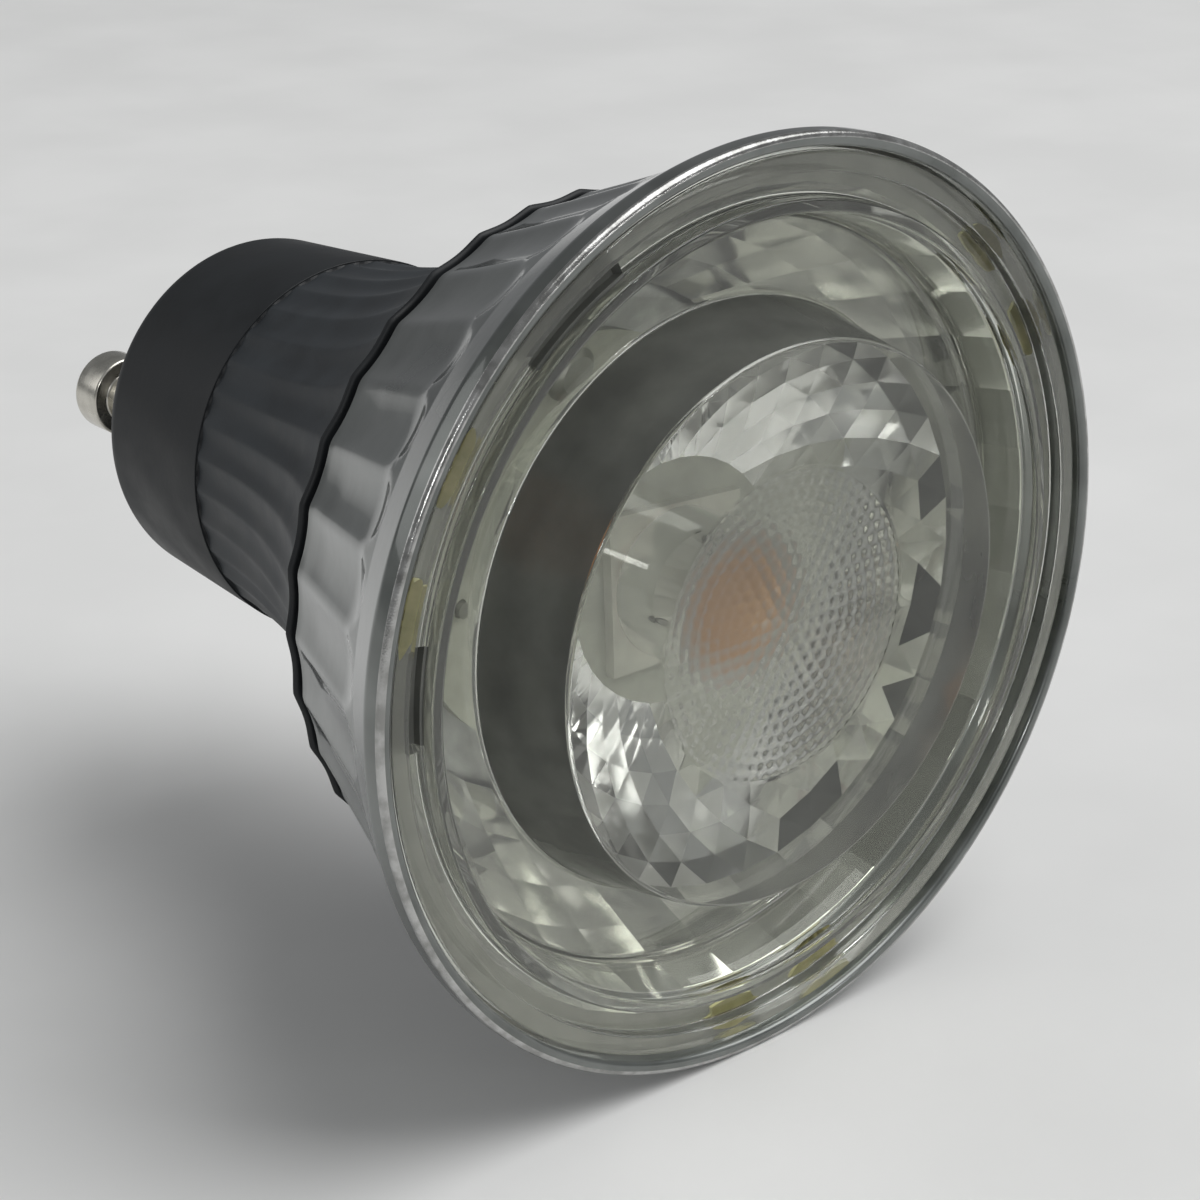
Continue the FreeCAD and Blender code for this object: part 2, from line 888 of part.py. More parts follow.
def board_screws():
    """Two pan-head screws as one group."""
    screws = []
    for number, (x, y) in enumerate(screw_spots(), start=1):
        body = new_body(f"board_screw_{number}")
        under_head = size("screw_shank_length")
        head_top = under_head + size("screw_head_height")
        crown = size("screw_head_height") / 2
        corners = [
            (0, 0),
            (size("screw_shank_radius"), 0),
            (size("screw_shank_radius"), under_head),
            (size("screw_head_radius"), under_head),
            (size("screw_head_radius"), under_head + crown),
            (size("screw_head_radius") - crown, head_top),
            (0, head_top),
        ]
        revolve(body, f"screw_turning_{number}", corners)
        place(body, x, led_board_front_q() - under_head, y)
        screws.append(body)
    group = doc.addObject("Part::Compound", "board_screws")
    group.Label = "board_screws"
    group.Links = screws
    return group


# Driver


def block(label, x, q, z, width, length, height):
    """A box with its middle at x, its rear at q and its underside at z."""
    item = doc.addObject("Part::Box", label)
    item.Label = label
    drive(item, "Length", width)
    drive(item, "Width", length)
    drive(item, "Height", height)
    place(item, as_size(x) - width / 2, q + length, z, FreeCAD.Rotation())
    return item


def rod(label, x, q, z, radius, length):
    """A round bar that runs forward from q."""
    item = doc.addObject("Part::Cylinder", label)
    item.Label = label
    drive(item, "Radius", radius)
    drive(item, "Height", length)
    place(item, x, q, z)
    return item


def driver_board_width():
    """As wide as the bore lets the underside of the board be."""
    reach = size("base_bore_radius") - size("driver_board_fit")
    drop = size("driver_board_top_z") - size("driver_board_thickness")
    return square_root(reach * reach - drop * drop) * 2


def driver_board():
    """Circuit board that stands on the base's floor, edge to edge in its bore."""
    thickness = size("driver_board_thickness")
    return block(
        "driver_board",
        0,
        size("base_floor"),
        size("driver_board_top_z") - thickness,
        driver_board_width(),
        size("driver_board_length"),
        thickness,
    )


def bulk_capacitor():
    """Electrolytic capacitor lying on the board."""
    radius = size("bulk_capacitor_radius")
    return rod(
        "bulk_capacitor",
        radius + size("bulk_capacitor_edge") - driver_board_width() / 2,
        size("bulk_capacitor_q"),
        size("driver_board_top_z") + radius,
        radius,
        size("bulk_capacitor_length"),
    )


def power_inductor():
    """Drum core with its winding, standing on the board."""
    body = new_body("power_inductor")
    height = size("inductor_height")
    flange = size("inductor_flange")
    waist = size("inductor_radius") - size("inductor_waist_depth")
    corners = [
        (0, 0),
        (size("inductor_radius"), 0),
        (size("inductor_radius"), flange),
        (waist, flange),
        (waist, height - flange),
        (size("inductor_radius"), height - flange),
        (size("inductor_radius"), height),
        (0, height),
    ]
    revolve(body, "drum", corners)
    x = driver_board_width() / 2 - size("inductor_radius") - size("inductor_edge")
    place(body, x, size("inductor_q"), size("driver_board_top_z"), FreeCAD.Rotation())
    return body


def film_capacitor():
    """Dipped film capacitor with rounded edges, near the front end of the board."""
    wire_side = led_wire_x() - size("led_wire_radius")
    board_end_q = size("base_floor") + size("driver_board_length")
    box = block(
        "film_capacitor_block",
        wire_side - size("film_capacitor_gap") - size("film_capacitor_width") / 2,
        board_end_q - size("film_capacitor_setback") - size("film_capacitor_length"),
        size("driver_board_top_z"),
        size("film_capacitor_width"),
        size("film_capacitor_length"),
        size("film_capacitor_height"),
    )
    doc.recompute()
    rounded = doc.addObject("Part::Fillet", "film_capacitor")
    rounded.Label = "film_capacitor"
    rounded.Base = box
    radius = size("film_capacitor_round").value
    floor = box.Shape.BoundBox.ZMin
    upper = [
        number
        for number, edge in enumerate(box.Shape.Edges, start=1)
        if edge.BoundBox.ZMax > floor + radius
    ]
    rounded.Edges = [(number, radius, radius) for number in upper]
    return rounded


def under_board(label, q, width, length, height):
    """A flat package soldered to the underside of the board."""
    underside = size("driver_board_top_z") - size("driver_board_thickness")
    return block(label, 0, q, underside - height, width, length, height)


def fusible_resistor():
    """Small round resistor on the board between the pins."""
    radius = size("resistor_radius")
    return rod(
        "fusible_resistor",
        0,
        size("resistor_q"),
        size("driver_board_top_z") + radius,
        radius,
        size("resistor_length"),
    )


def mains_lead(label, side):
    """Wire from the bore of a pin's tail, bent down on to the driver board."""
    body = new_body(label)
    tail_q = size("base_floor") + size("pin_collar_length") + size("pin_tail_length")
    start_q = tail_q - size("pin_bore_depth")
    bend_q = start_q + size("mains_wire_run")
    path = new_sketch(body, f"{label}_route", "YZ_Plane")
    corners = [
        (0, start_q),
        (0, bend_q),
        (size("driver_board_top_z"), bend_q),
    ]
    outline(path, corners, closed=False)
    section = new_sketch(body, f"{label}_section", "XY_Plane", start_q)
    circle(section, 0, 0, size("mains_wire_radius"))
    doc.recompute()
    wire = body.newObject("PartDesign::AdditivePipe", f"{label}_wire")
    wire.Profile = section
    wire.Spine = path
    wire.Transition = "Right corner"
    body.Tip = wire
    place(body, size("pin_spacing") / 2 * side, 0, 0)
    return body


def led_lead(label, spot):
    """Straight wire from the driver board through the heat sink to the LED board."""
    front = led_board_front_q() + size("led_wire_stub")
    rear = size("led_wire_rear_q")
    return rod(label, spot[0], rear, spot[1], size("led_wire_radius"), front - rear)


def build_all():
    """Every sub-part of the lamp, in the order in which it would be put together."""
    wire_spots = led_wire_spots()
    return [
        base_housing(),
        contact_pin("pin_left", -1),
        contact_pin("pin_right", 1),
        mains_lead("mains_lead_left", -1),
        mains_lead("mains_lead_right", 1),
        driver_board(),
        bulk_capacitor(),
        power_inductor(),
        film_capacitor(),
        fusible_resistor(),
        under_board("bridge_rectifier", size("rectifier_q"), size("rectifier_width"),
                    size("rectifier_length"), size("rectifier_height")),
        under_board("driver_chip", size("chip_q"), size("chip_width"), size("chip_length"),
                    size("chip_height")),
        heat_sink(),
        round_plate("thermal_pad", size("led_board_radius"), heat_sink_front_q(),
                    size("thermal_pad_thickness")),
        round_plate("led_board", size("led_board_radius"), led_board_rear_q(),
                    size("led_board_thickness")),
        board_screws(),
        led_lead("led_lead_right", wire_spots[0]),
        led_lead("led_lead_left", wire_spots[1]),
        led_substrate(),
        led_phosphor(),
        glass_reflector(),
        lens_adhesive(),
        front_lens(),
    ]


subparts = build_all()
doc.recompute()

for item in doc.Objects:
    if "Invalid" in item.State or "Error" in item.State:
        raise RuntimeError(f"{item.Label} failed: {item.State}")
for item in subparts:
    if item.Shape.isNull() or not item.Shape.isValid():
        raise RuntimeError(f"{item.Label} has no valid shape")

os.makedirs("parts", exist_ok=True)
for item in subparts:
    item.Shape.exportStep(f"parts/{item.Label}.step")
    print(f"{item.Label}: {len(item.Shape.Solids)} solid(s), {item.Shape.Volume:.1f} mm3")
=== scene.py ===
"""Looks of the GU10 reflector lamp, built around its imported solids.

The lamp lies along Y and its beam leaves along -Y. Lengths are millimetres here until a point is made.
q is the distance forward of the base's rear face, so Y = -q.
Angles round the lamp run from +X towards +Z, anticlockwise as seen from the front.
"""
import math
import random
from collections import namedtuple

import bmesh
import bpy
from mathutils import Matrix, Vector


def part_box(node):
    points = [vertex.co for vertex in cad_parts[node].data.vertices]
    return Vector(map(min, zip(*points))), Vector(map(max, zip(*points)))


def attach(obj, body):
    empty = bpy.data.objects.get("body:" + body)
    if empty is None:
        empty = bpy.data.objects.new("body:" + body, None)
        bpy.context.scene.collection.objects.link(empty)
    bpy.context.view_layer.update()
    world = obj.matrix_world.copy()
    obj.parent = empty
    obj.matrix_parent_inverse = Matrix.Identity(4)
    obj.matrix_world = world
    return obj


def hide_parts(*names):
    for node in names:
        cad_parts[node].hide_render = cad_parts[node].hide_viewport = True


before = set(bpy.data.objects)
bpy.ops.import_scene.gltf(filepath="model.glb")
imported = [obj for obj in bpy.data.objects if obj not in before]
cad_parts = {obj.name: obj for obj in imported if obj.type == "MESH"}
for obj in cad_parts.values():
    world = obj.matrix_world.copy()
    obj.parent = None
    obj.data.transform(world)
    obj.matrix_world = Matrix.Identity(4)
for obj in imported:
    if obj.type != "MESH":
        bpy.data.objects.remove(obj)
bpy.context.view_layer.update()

MM = 0.001
FLUTES = 36
FLUTE_STEPS = 16
SEGMENTS = FLUTES * FLUTE_STEPS
PITCH = math.tau / FLUTES

FILLET_STEPS = 6
BASE_FILLET_STEPS = 10

# Angles between faces, in degrees, from which an edge shows: on plain surfaces and on flat facets
CREASE = 30
FACET_CREASE = 1

# One ring of a turned surface. At an angle, dent moves it towards the axis and sink moves it to the rear.
# The strip after the ring takes its material from the place paint in the piece's list.
Row = namedtuple("Row", "radius q dent sink paint", defaults=(None, None, 0))


def reach(node, axis, side):
    """How far a solid reaches along an axis (0 to 2), at its low (0) or high (1) side."""
    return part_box(node)[side][axis] / MM


# Sizes read from the solids
RIM_RADIUS = reach("glass_reflector", 0, 1)
RIM_FRONT_Q = -reach("glass_reflector", 1, 0)
SPIGOT_Q = -reach("glass_reflector", 1, 1)
SEAM_Q = -reach("base_housing", 1, 0)
SEAM_RADIUS = reach("base_housing", 0, 1)
LENS_RADIUS = reach("front_lens", 0, 1)
PUCK_FRONT_Q = -reach("front_lens", 1, 0)
LENS_FOOT_Q = -reach("front_lens", 1, 1)
LEDGE_Q = -reach("lens_adhesive", 1, 1)
FLANGE_REAR_Q = -reach("lens_adhesive", 1, 0)
PIN_TIP_Q = -reach("pin_left", 1, 1)
PIN_TAIL_Q = -reach("pin_left", 1, 0)
PIN_HEAD_RADIUS = (reach("pin_left", 0, 1) - reach("pin_left", 0, 0)) / 2
PIN_X = (reach("pin_right", 0, 1) + reach("pin_right", 0, 0)) / 2

# Base; FLUTE_START is a share of the trumpet's length
REAR_RADIUS = 8.3
REAR_FILLET = 0.9
BEVEL_Q = 2.4
BEVEL_FILLET = 1.6
COLLAR_REAR_RADIUS = 10.65
COLLAR_RADIUS = 11.35
COLLAR_Q = 12.5
STEP_FILLET = 0.05
TRUMPET_REAR_RADIUS = 11.25
TRUMPET_SLOPE = 0.06
TRUMPET_ROWS = 60
FLUTE_START = 0.004
FLUTE_DEPTHS = (0.15, 0.38)
FLUTE_POWER = 1.25
SEAM_LIP = 0.25
LIP_ROWS = 5
BASE_WALL = 1.4
BASE_FLOOR = 2.4
BASE_BORE = 9.2
INSIDE_ROWS = 24
SPIGOT_GAP = 0.1

# Flutes and scoops have this share of their depth at the seam, and all of it from SEAM_FADE onwards
SEAM_SHARE = 0.6
SEAM_FADE = 2.5

# Glass cup; RIDGE_START is a place across a flute
SEAM_GAP = 0.4
SEAM_STEP = 0.05
CUP_REAR_Q = SEAM_Q + SEAM_GAP
CUP_REAR_RADIUS = SEAM_RADIUS - SEAM_STEP
SHOULDER = 0.35
SHOULDER_ROWS = 6
SCOOP_DEPTH = 0.42
SCOOP_END_Q = 44.0
SCOOP_TIP = 2.4
SCOOP_ROWS = 12
TIP_ROWS = 24
RIDGE_START = 0.8
RIDGE_ROUNDING = 5
WAIST_RADIUS = 23.5
WAIST_STEP = 0.05
WAIST_LENGTH = 0.1
FLARE_FILLET = 0.8
RIM_BAND = 1.2
RIM_WALL = 0.8
RIM_FILLET = 0.32
RIM_SLACK = 0.02
SPIGOT_INSET = 2.8
SPIGOT_WALL = 2.4
SPIGOT_RADIUS = SEAM_RADIUS - SPIGOT_INSET
MIRROR_RADII = (22.2, SPIGOT_RADIUS - SPIGOT_WALL)
MIRROR_BULGE = 0.3
MIRROR_ROWS = 5
MIRROR_SEED = 5

# Lens, from its middle to its edge; a slot has a middle angle and a width, in degrees
STIPPLE_PITCH = 0.7
STIPPLE_STEP = 6
STIPPLE_DEPTH = 0.07
STIPPLE_ROWS = 60
STIPPLE_SEGMENTS = SEGMENTS // 2
DISH_RADIUS = 8.5
DISH_DEPTH = 0.5
DISH_MARGIN = 0.2
DISH_FILLET = 0.15
PUCK_TOP_RADIUS = 15.0
PUCK_TOP_FILLET = 0.25
PUCK_FOOT_RADIUS = 16.0
PUCK_FOOT_FILLET = 0.3
WELL_FLOOR_Q = 43.8
WELL_FOOT_RADIUS = 20.2
WELL_FOOT_FILLET = 0.5
WELL_TOP_RADIUS = 20.9
WELL_TOP_FILLET = 0.25
FLANGE_FRONT_Q = 47.6
GROOVE_RADII = (21.6, 22.9)
GROOVE_DEPTH = 0.8
GROOVE_FILLET = 0.15
GROOVE_FLOOR_FILLET = 0.12
SLOTS = ((123.5, 17.0), (175.5, 13.0))
SLOT_DEPTH = 0.45
SLOT_MARGIN = 0.15
LENS_EDGE_FILLET = 0.2
FLANGE_REAR_FILLET = 0.3
FLOOR_REAR_FILLET = 0.4
LENS_WALL = 0.75
FLOOR_REAR_Q = WELL_FLOOR_Q - LENS_WALL

# Collimator behind the lens, and the cavity in it
CONE_RADII = (15.2, 7.0)
CONE_BULGE = 0.34
CONE_ROWS = 6
CAVITY_RADIUS = 4.4
CAVITY_HEIGHT = 9.8
CAVITY_CROWN = 0.9
CAVITY_SEGMENTS = 2 * FLUTES
CROWN_ROWS = 12
FACET_SEED = 3
# Rows that also have facets tinted dark as painted dark reflections, and how often such a dark one is drawn
# against each other tone
PAINTED_DARK_ROWS = 1
PAINTED_DARK_ODDS = 2

# Glue dabs: middle angles in degrees, size, and waves of the outline (count, shift from dab to dab, height)
DAB_ANGLES = (29, 45, 147, 165, 268, 284)
DAB_RADIUS = 23.15
DAB_HALF_WIDTH = 0.8
DAB_HALF_ANGLE = 4.5
DAB_WAVES = ((3, 1, 0.1), (5, 2, 0.07))
DAB_POINTS = 48

# Pins
PIN_TIP_FILLET = 0.55
PIN_HEAD_LENGTH = 2.6
PIN_HEAD_FILLET = 0.2
PIN_NECK_RADIUS = 1.6
PIN_NECK_FILLET = 0.15
PIN_SHANK_RADIUS = 1.5
PIN_COLLAR_RADIUS = 2.1
PIN_COLLAR_LENGTH = 0.6
PIN_TAIL_RADIUS = 1.0
PIN_TAIL_FILLET = 0.1
PIN_SEGMENTS = 96

# Places in the list of materials of the base, of the cup and of the lens; 0 is the usual one
FLUTED = 1
GLASS = 0
LEDGE = 1
MIRRORS = (2, 3, 4)
EDGE = 5
STIPPLE = 1
ROOF = 2
# Painted shade: a dark tint on clear plastic, on the raised middle's wall and in the groove's slots
PAINTED_SHADE = 3
FACETS = (4, 5, 6)
FACE = 7
# Clear facets tinted dark as painted dark reflections
PAINTED_DARK_REFLECTION = 8

# Values of a pattern between which roughness and colours change
ROUGH_SPAN = (0.3, 0.7)
COLOUR_SPAN = (0.35, 0.65)
# How much finer the grain of a surface is than its patches
GRAIN_FINENESS = 9.0
ACRYLIC_IOR = 1.49

# Stage; the camera is fitted to the photograph
FLOOR_HALF = 1500
SURROUND = (0.2, 0.205, 0.21)
LAMP_MIDDLE = (0, -25, 0)
CAMERA_PLACE = (-94.05, -142.08, 55.84)
CAMERA_TARGET = (2.02, -32.4, -4.25)
CAMERA_LENS = 84.85
CAMERA_NEAR = 10


# Profiles and surfaces


def spread(start, end, count):
    """Evenly spaced values from start to end."""
    return [start + (end - start) * number / count for number in range(count + 1)]


def filleted(corners, steps):
    """Points along a profile of corners (radius, q, fillet), with each fillet as a row of short chords."""
    points = []
    for number, (radius, q, fillet) in enumerate(corners):
        here = Vector((radius, q))
        if not fillet:
            points.append((radius, q))
            continue
        before = (Vector(corners[number - 1][:2]) - here).normalized()
        after = (Vector(corners[number + 1][:2]) - here).normalized()
        half = before.angle(after) / 2
        centre = here + (before + after).normalized() * (fillet / math.sin(half))
        start = here + before * (fillet / math.tan(half)) - centre
        end = here + after * (fillet / math.tan(half)) - centre
        for step in range(steps + 1):
            point = centre + start.slerp(end, step / steps).normalized() * fillet
            points.append((point.x, point.y))
    return points


def plain_rows(corners, steps=FILLET_STEPS):
    """Rows of a plain turned surface along a filleted profile."""
    return [Row(radius, q) for radius, q in filleted(corners, steps)]


def bulging(radii, qs, bulge, rows):
    """Rows (radius, q) from front to rear along a line that bulges outwards like a shallow bowl."""
    front, rear = radii
    found = []
    for part in spread(1, 0, rows):
        radius = rear + (front - rear) * (part + bulge * part * (1 - part))
        found.append((radius, qs[1] + (qs[0] - qs[1]) * part))
    return found


def point_at(radius, q, turn, axis_x=0.0):
    """The point at a radius and an angle round the lamp's axis, or one beside it, in metres."""
    x = axis_x + radius * math.cos(turn)
    z = radius * math.sin(turn)
    return x * MM, -q * MM, z * MM


def ring(bm, row, segments, axis_x=0.0, twist=0.0):
    """The vertices of one row, or a single one on the axis; twist is a share of a segment."""
    if row.radius == 0:
        return [bm.verts.new(point_at(0, row.q, 0, axis_x))]
    verts = []
    for number in range(segments):
        turn = math.tau * (number + twist) / segments
        radius = row.radius - (row.dent(turn) if row.dent else 0)
        q = row.q - (row.sink(turn) if row.sink else 0)
        verts.append(bm.verts.new(point_at(radius, q, turn, axis_x)))
    return verts


def skin(bm, near, far, paint=0):
    """Faces between two rings, which may be of a different count or a single point."""
    if len(near) < len(far):
        near, far = far, near
    if len(far) == 1:
        for number, vert in enumerate(near):
            bm.faces.new([far[0], vert, near[(number + 1) % len(near)]]).material_index = paint
        return
    share = len(near) // len(far)
    for number in range(len(far)):
        edge = [near[(number * share + step) % len(near)] for step in range(share + 1)]
        corners = edge + [far[(number + 1) % len(far)], far[number]]
        bm.faces.new(corners).material_index = paint


def turned(bm, rows, segments=SEGMENTS, axis_x=0.0):
    """Turns rows into a skin about the lamp's axis, or one beside it, and returns the end rings."""
    rings = [ring(bm, row, segments, axis_x) for row in rows]
    for number in range(len(rows) - 1):
        skin(bm, rings[number], rings[number + 1], rows[number].paint)
    return rings[0], rings[-1]


def piece(name, bm, materials, node, flat_paints=()):
    """Makes an object of a mesh that stands for a CAD node; flat_paints are materials on flat facets."""
    bmesh.ops.recalc_face_normals(bm, faces=bm.faces)
    for edge in bm.edges:
        paints = {face.material_index for face in edge.link_faces}
        limit = FACET_CREASE if paints & set(flat_paints) else CREASE
        edge.smooth = edge.calc_face_angle(0) < math.radians(limit)
    for face in bm.faces:
        face.smooth = True
    mesh = bpy.data.meshes.new(name)
    bm.to_mesh(mesh)
    bm.free()
    obj = bpy.data.objects.new(name, mesh)
    bpy.context.scene.collection.objects.link(obj)
    for item in materials:
        mesh.materials.append(item)
    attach(obj, "root")
    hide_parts(node)
    return obj


# Flutes


def across_flute(turn):
    """Place across a flute at this angle: -1 and 1 on the ridges, 0 in the middle."""
    return 2 * ((turn / PITCH) % 1) - 1


def flute(depth):
    """A hollow flute with softened ridges."""
    def dent(turn):
        return depth * math.cos(across_flute(turn) * math.pi / 2) ** FLUTE_POWER
    return dent


def scoop(depth, share):
    """A hollow scoop between softened ridges; a shallower one is narrower too, so that its end is an arch."""
    def dent(turn):
        place = abs(across_flute(turn))
        level = place ** 2 - RIDGE_ROUNDING * max(0.0, place - RIDGE_START) ** 2
        return share * max(0.0, depth - SCOOP_DEPTH * level)
    return dent


def flat_side(radius):
    """Sinks a circle to a polygon with corners on the ridges."""
    def dent(turn):
        across = across_flute(turn) * PITCH / 2
        return radius * (1 - math.cos(PITCH / 2) / math.cos(across))
    return dent


def seam_share(distance):
    """Share of the full depth that flutes and scoops have at this distance from their end at the seam."""
    return min(1.0, SEAM_SHARE + (1 - SEAM_SHARE) * distance / SEAM_FADE)


# Base and pins


def trumpet_radius(q, inset=0.0):
    """Outside of the trumpet at q, on an arc from the collar to the seam, moved inwards by inset."""
    run = SEAM_Q - COLLAR_Q
    rise = SEAM_RADIUS - TRUMPET_REAR_RADIUS
    lean = math.hypot(1, TRUMPET_SLOPE)
    bend = (run ** 2 + rise ** 2) / (2 * (rise - TRUMPET_SLOPE * run) / lean)
    centre_q = COLLAR_Q - bend * TRUMPET_SLOPE / lean
    centre_radius = TRUMPET_REAR_RADIUS + bend / lean
    return centre_radius - math.sqrt((bend + inset) ** 2 - (q - centre_q) ** 2)


def base_shell(*materials):
    """Hollow base: bevelled end, smooth collar, small step, and the trumpet with a finish for its flutes."""
    rows = plain_rows([
        (0, 0, 0),
        (REAR_RADIUS, 0, REAR_FILLET),
        (COLLAR_REAR_RADIUS, BEVEL_Q, BEVEL_FILLET),
        (COLLAR_RADIUS, COLLAR_Q, STEP_FILLET),
        (trumpet_radius(COLLAR_Q), COLLAR_Q, 0),
    ], BASE_FILLET_STEPS)
    lip_q = SEAM_Q - SEAM_LIP
    for part in spread(FLUTE_START, 1, TRUMPET_ROWS):
        q = COLLAR_Q + (lip_q - COLLAR_Q) * part
        depth = FLUTE_DEPTHS[0] + (FLUTE_DEPTHS[1] - FLUTE_DEPTHS[0]) * part
        rows.append(Row(trumpet_radius(q), q, flute(depth * seam_share(lip_q - q)), paint=FLUTED))
    for turn in spread(0, math.pi / 2, LIP_ROWS):
        q = SEAM_Q - SEAM_LIP * (1 - math.sin(turn))
        radius = trumpet_radius(SEAM_Q) - SEAM_LIP * (1 - math.cos(turn))
        rows.append(Row(radius, q, flute(FLUTE_DEPTHS[1] * SEAM_SHARE)))
    socket_radius = SPIGOT_RADIUS + SPIGOT_GAP
    rows += plain_rows([(socket_radius, SEAM_Q, 0), (socket_radius, SPIGOT_Q, 0)])
    for q in spread(SPIGOT_Q, COLLAR_Q, INSIDE_ROWS):
        rows.append(Row(trumpet_radius(q, BASE_WALL), q))
    rows += plain_rows([(BASE_BORE, COLLAR_Q, 0), (BASE_BORE, BASE_FLOOR, 0), (0, BASE_FLOOR, 0)])
    bm = bmesh.new()
    turned(bm, rows)
    piece("base_shell", bm, materials, "base_housing")


def contact_pin(name, node, x, nickel):
    """Turned pin with a rounded head and a short tail inside the base."""
    head_q = PIN_TIP_Q + PIN_HEAD_LENGTH
    collar_q = BASE_FLOOR + PIN_COLLAR_LENGTH
    rows = plain_rows([
        (0, PIN_TIP_Q, 0),
        (PIN_HEAD_RADIUS, PIN_TIP_Q, PIN_TIP_FILLET),
        (PIN_HEAD_RADIUS, head_q, PIN_HEAD_FILLET),
        (PIN_NECK_RADIUS, head_q, PIN_NECK_FILLET),
        (PIN_NECK_RADIUS, 0, 0),
        (PIN_SHANK_RADIUS, 0, 0),
        (PIN_SHANK_RADIUS, BASE_FLOOR, 0),
        (PIN_COLLAR_RADIUS, BASE_FLOOR, 0),
        (PIN_COLLAR_RADIUS, collar_q, PIN_TAIL_FILLET),
        (PIN_TAIL_RADIUS, collar_q, 0),
        (PIN_TAIL_RADIUS, PIN_TAIL_Q, PIN_TAIL_FILLET),
        (0, PIN_TAIL_Q, 0),
    ])
    bm = bmesh.new()
    turned(bm, rows, PIN_SEGMENTS, x)
    piece(name, bm, [nickel], node)


# Glass cup


def cup_outside():
    """Rows of the scooped outside with its arched ends, from the seam to the waist."""
    slope = (WAIST_RADIUS - CUP_REAR_RADIUS) / (SCOOP_END_Q - CUP_REAR_Q)
    start_q = CUP_REAR_Q + SHOULDER
    tip_q = SCOOP_END_Q - SCOOP_TIP
    rows = []
    for turn in spread(0, math.pi / 2, SHOULDER_ROWS):
        q = CUP_REAR_Q + SHOULDER * (1 - math.cos(turn))
        radius = CUP_REAR_RADIUS + slope * SHOULDER - SHOULDER * (1 - math.sin(turn))
        rows.append(Row(radius, q, scoop(SCOOP_DEPTH, SEAM_SHARE)))
    for q in spread(start_q, tip_q, SCOOP_ROWS)[1:] + spread(tip_q, SCOOP_END_Q, TIP_ROWS)[1:]:
        fade = max(0.0, (q - tip_q) / SCOOP_TIP)
        depth = SCOOP_DEPTH * (1 - fade ** 2)
        rows.append(Row(CUP_REAR_RADIUS + slope * (q - CUP_REAR_Q), q, scoop(depth, seam_share(q - start_q))))
    return rows


def cup_rim():
    """Rows of the flared rim, with a bright outer edge, and on down to the ledge."""
    ledge_radius = RIM_RADIUS - RIM_WALL
    rows = plain_rows([
        (WAIST_RADIUS + WAIST_STEP, SCOOP_END_Q + WAIST_LENGTH, 0),
        (RIM_RADIUS, RIM_FRONT_Q - RIM_BAND, FLARE_FILLET),
        (RIM_RADIUS, RIM_FRONT_Q, RIM_FILLET),
        (ledge_radius, RIM_FRONT_Q, RIM_FILLET),
        (ledge_radius, LEDGE_Q, 0),
    ])
    for number, row in enumerate(rows):
        outer = row.radius > RIM_RADIUS - RIM_FILLET + RIM_SLACK
        if outer and row.q > RIM_FRONT_Q - RIM_FILLET - RIM_SLACK:
            rows[number] = row._replace(paint=EDGE)
    rows[-1] = rows[-1]._replace(paint=LEDGE)
    return rows


def cup_inside():
    """Rows of flat mirror facets, and of the spigot behind them."""
    rows = []
    for radius, q in bulging(MIRROR_RADII, (LEDGE_Q, SPIGOT_Q), MIRROR_BULGE, MIRROR_ROWS):
        rows.append(Row(radius, q, flat_side(radius), paint=MIRRORS[0]))
    rows[-1] = rows[-1]._replace(paint=GLASS)
    return rows + plain_rows([(SPIGOT_RADIUS, SPIGOT_Q, 0), (SPIGOT_RADIUS, CUP_REAR_Q, 0)])


def mix_mirrors(bm):
    """Draws one of three tones for each mirror facet."""
    chance = random.Random(MIRROR_SEED)
    tones = [[chance.choice(MIRRORS) for _ in range(FLUTES)] for _ in range(MIRROR_ROWS)]
    for face in bm.faces:
        if face.material_index in MIRRORS:
            x, y, z = face.calc_center_median() / MM
            row = int((LEDGE_Q + y) / (LEDGE_Q - SPIGOT_Q) * MIRROR_ROWS)
            face.material_index = tones[row][int(math.atan2(z, x) % math.tau / PITCH)]


def glass_cup(*materials):
    """Pressed cup: scooped outside, flared rim, ledge, and mirror facets inside."""
    bm = bmesh.new()
    first, last = turned(bm, cup_outside() + cup_rim() + cup_inside())
    skin(bm, last, first)
    mix_mirrors(bm)
    piece("glass_cup", bm, materials, "glass_reflector", flat_paints=MIRRORS)


# Lens and glue


def stipple(radius):
    """Rings of tiny round lenses in the middle of the front: how deep the surface lies at this radius."""
    number = round(radius / STIPPLE_PITCH)
    count = max(1, STIPPLE_STEP * number)
    out = radius - number * STIPPLE_PITCH

    def sink(turn):
        along = ((turn * count / math.tau) % 1 - 0.5) * math.tau * radius / count
        return STIPPLE_DEPTH * min(1.0, (out ** 2 + along ** 2) / (STIPPLE_PITCH / 2) ** 2)
    return sink


def slot_sink(turn):
    """How far the groove's floor lies below its plain level, which it does in its two slots only."""
    for middle, width in SLOTS:
        if abs(math.degrees(turn) - middle) < width / 2:
            return SLOT_DEPTH
    return 0.0


def dish_rows():
    """Rows of the stippled dish in the middle of the front, without its edge."""
    q = PUCK_FRONT_Q - DISH_DEPTH
    rows = [Row(0, q, paint=STIPPLE)]
    for radius in spread(0, DISH_RADIUS - DISH_MARGIN, STIPPLE_ROWS)[1:]:
        rows.append(Row(radius, q, sink=stipple(radius), paint=STIPPLE))
    return rows


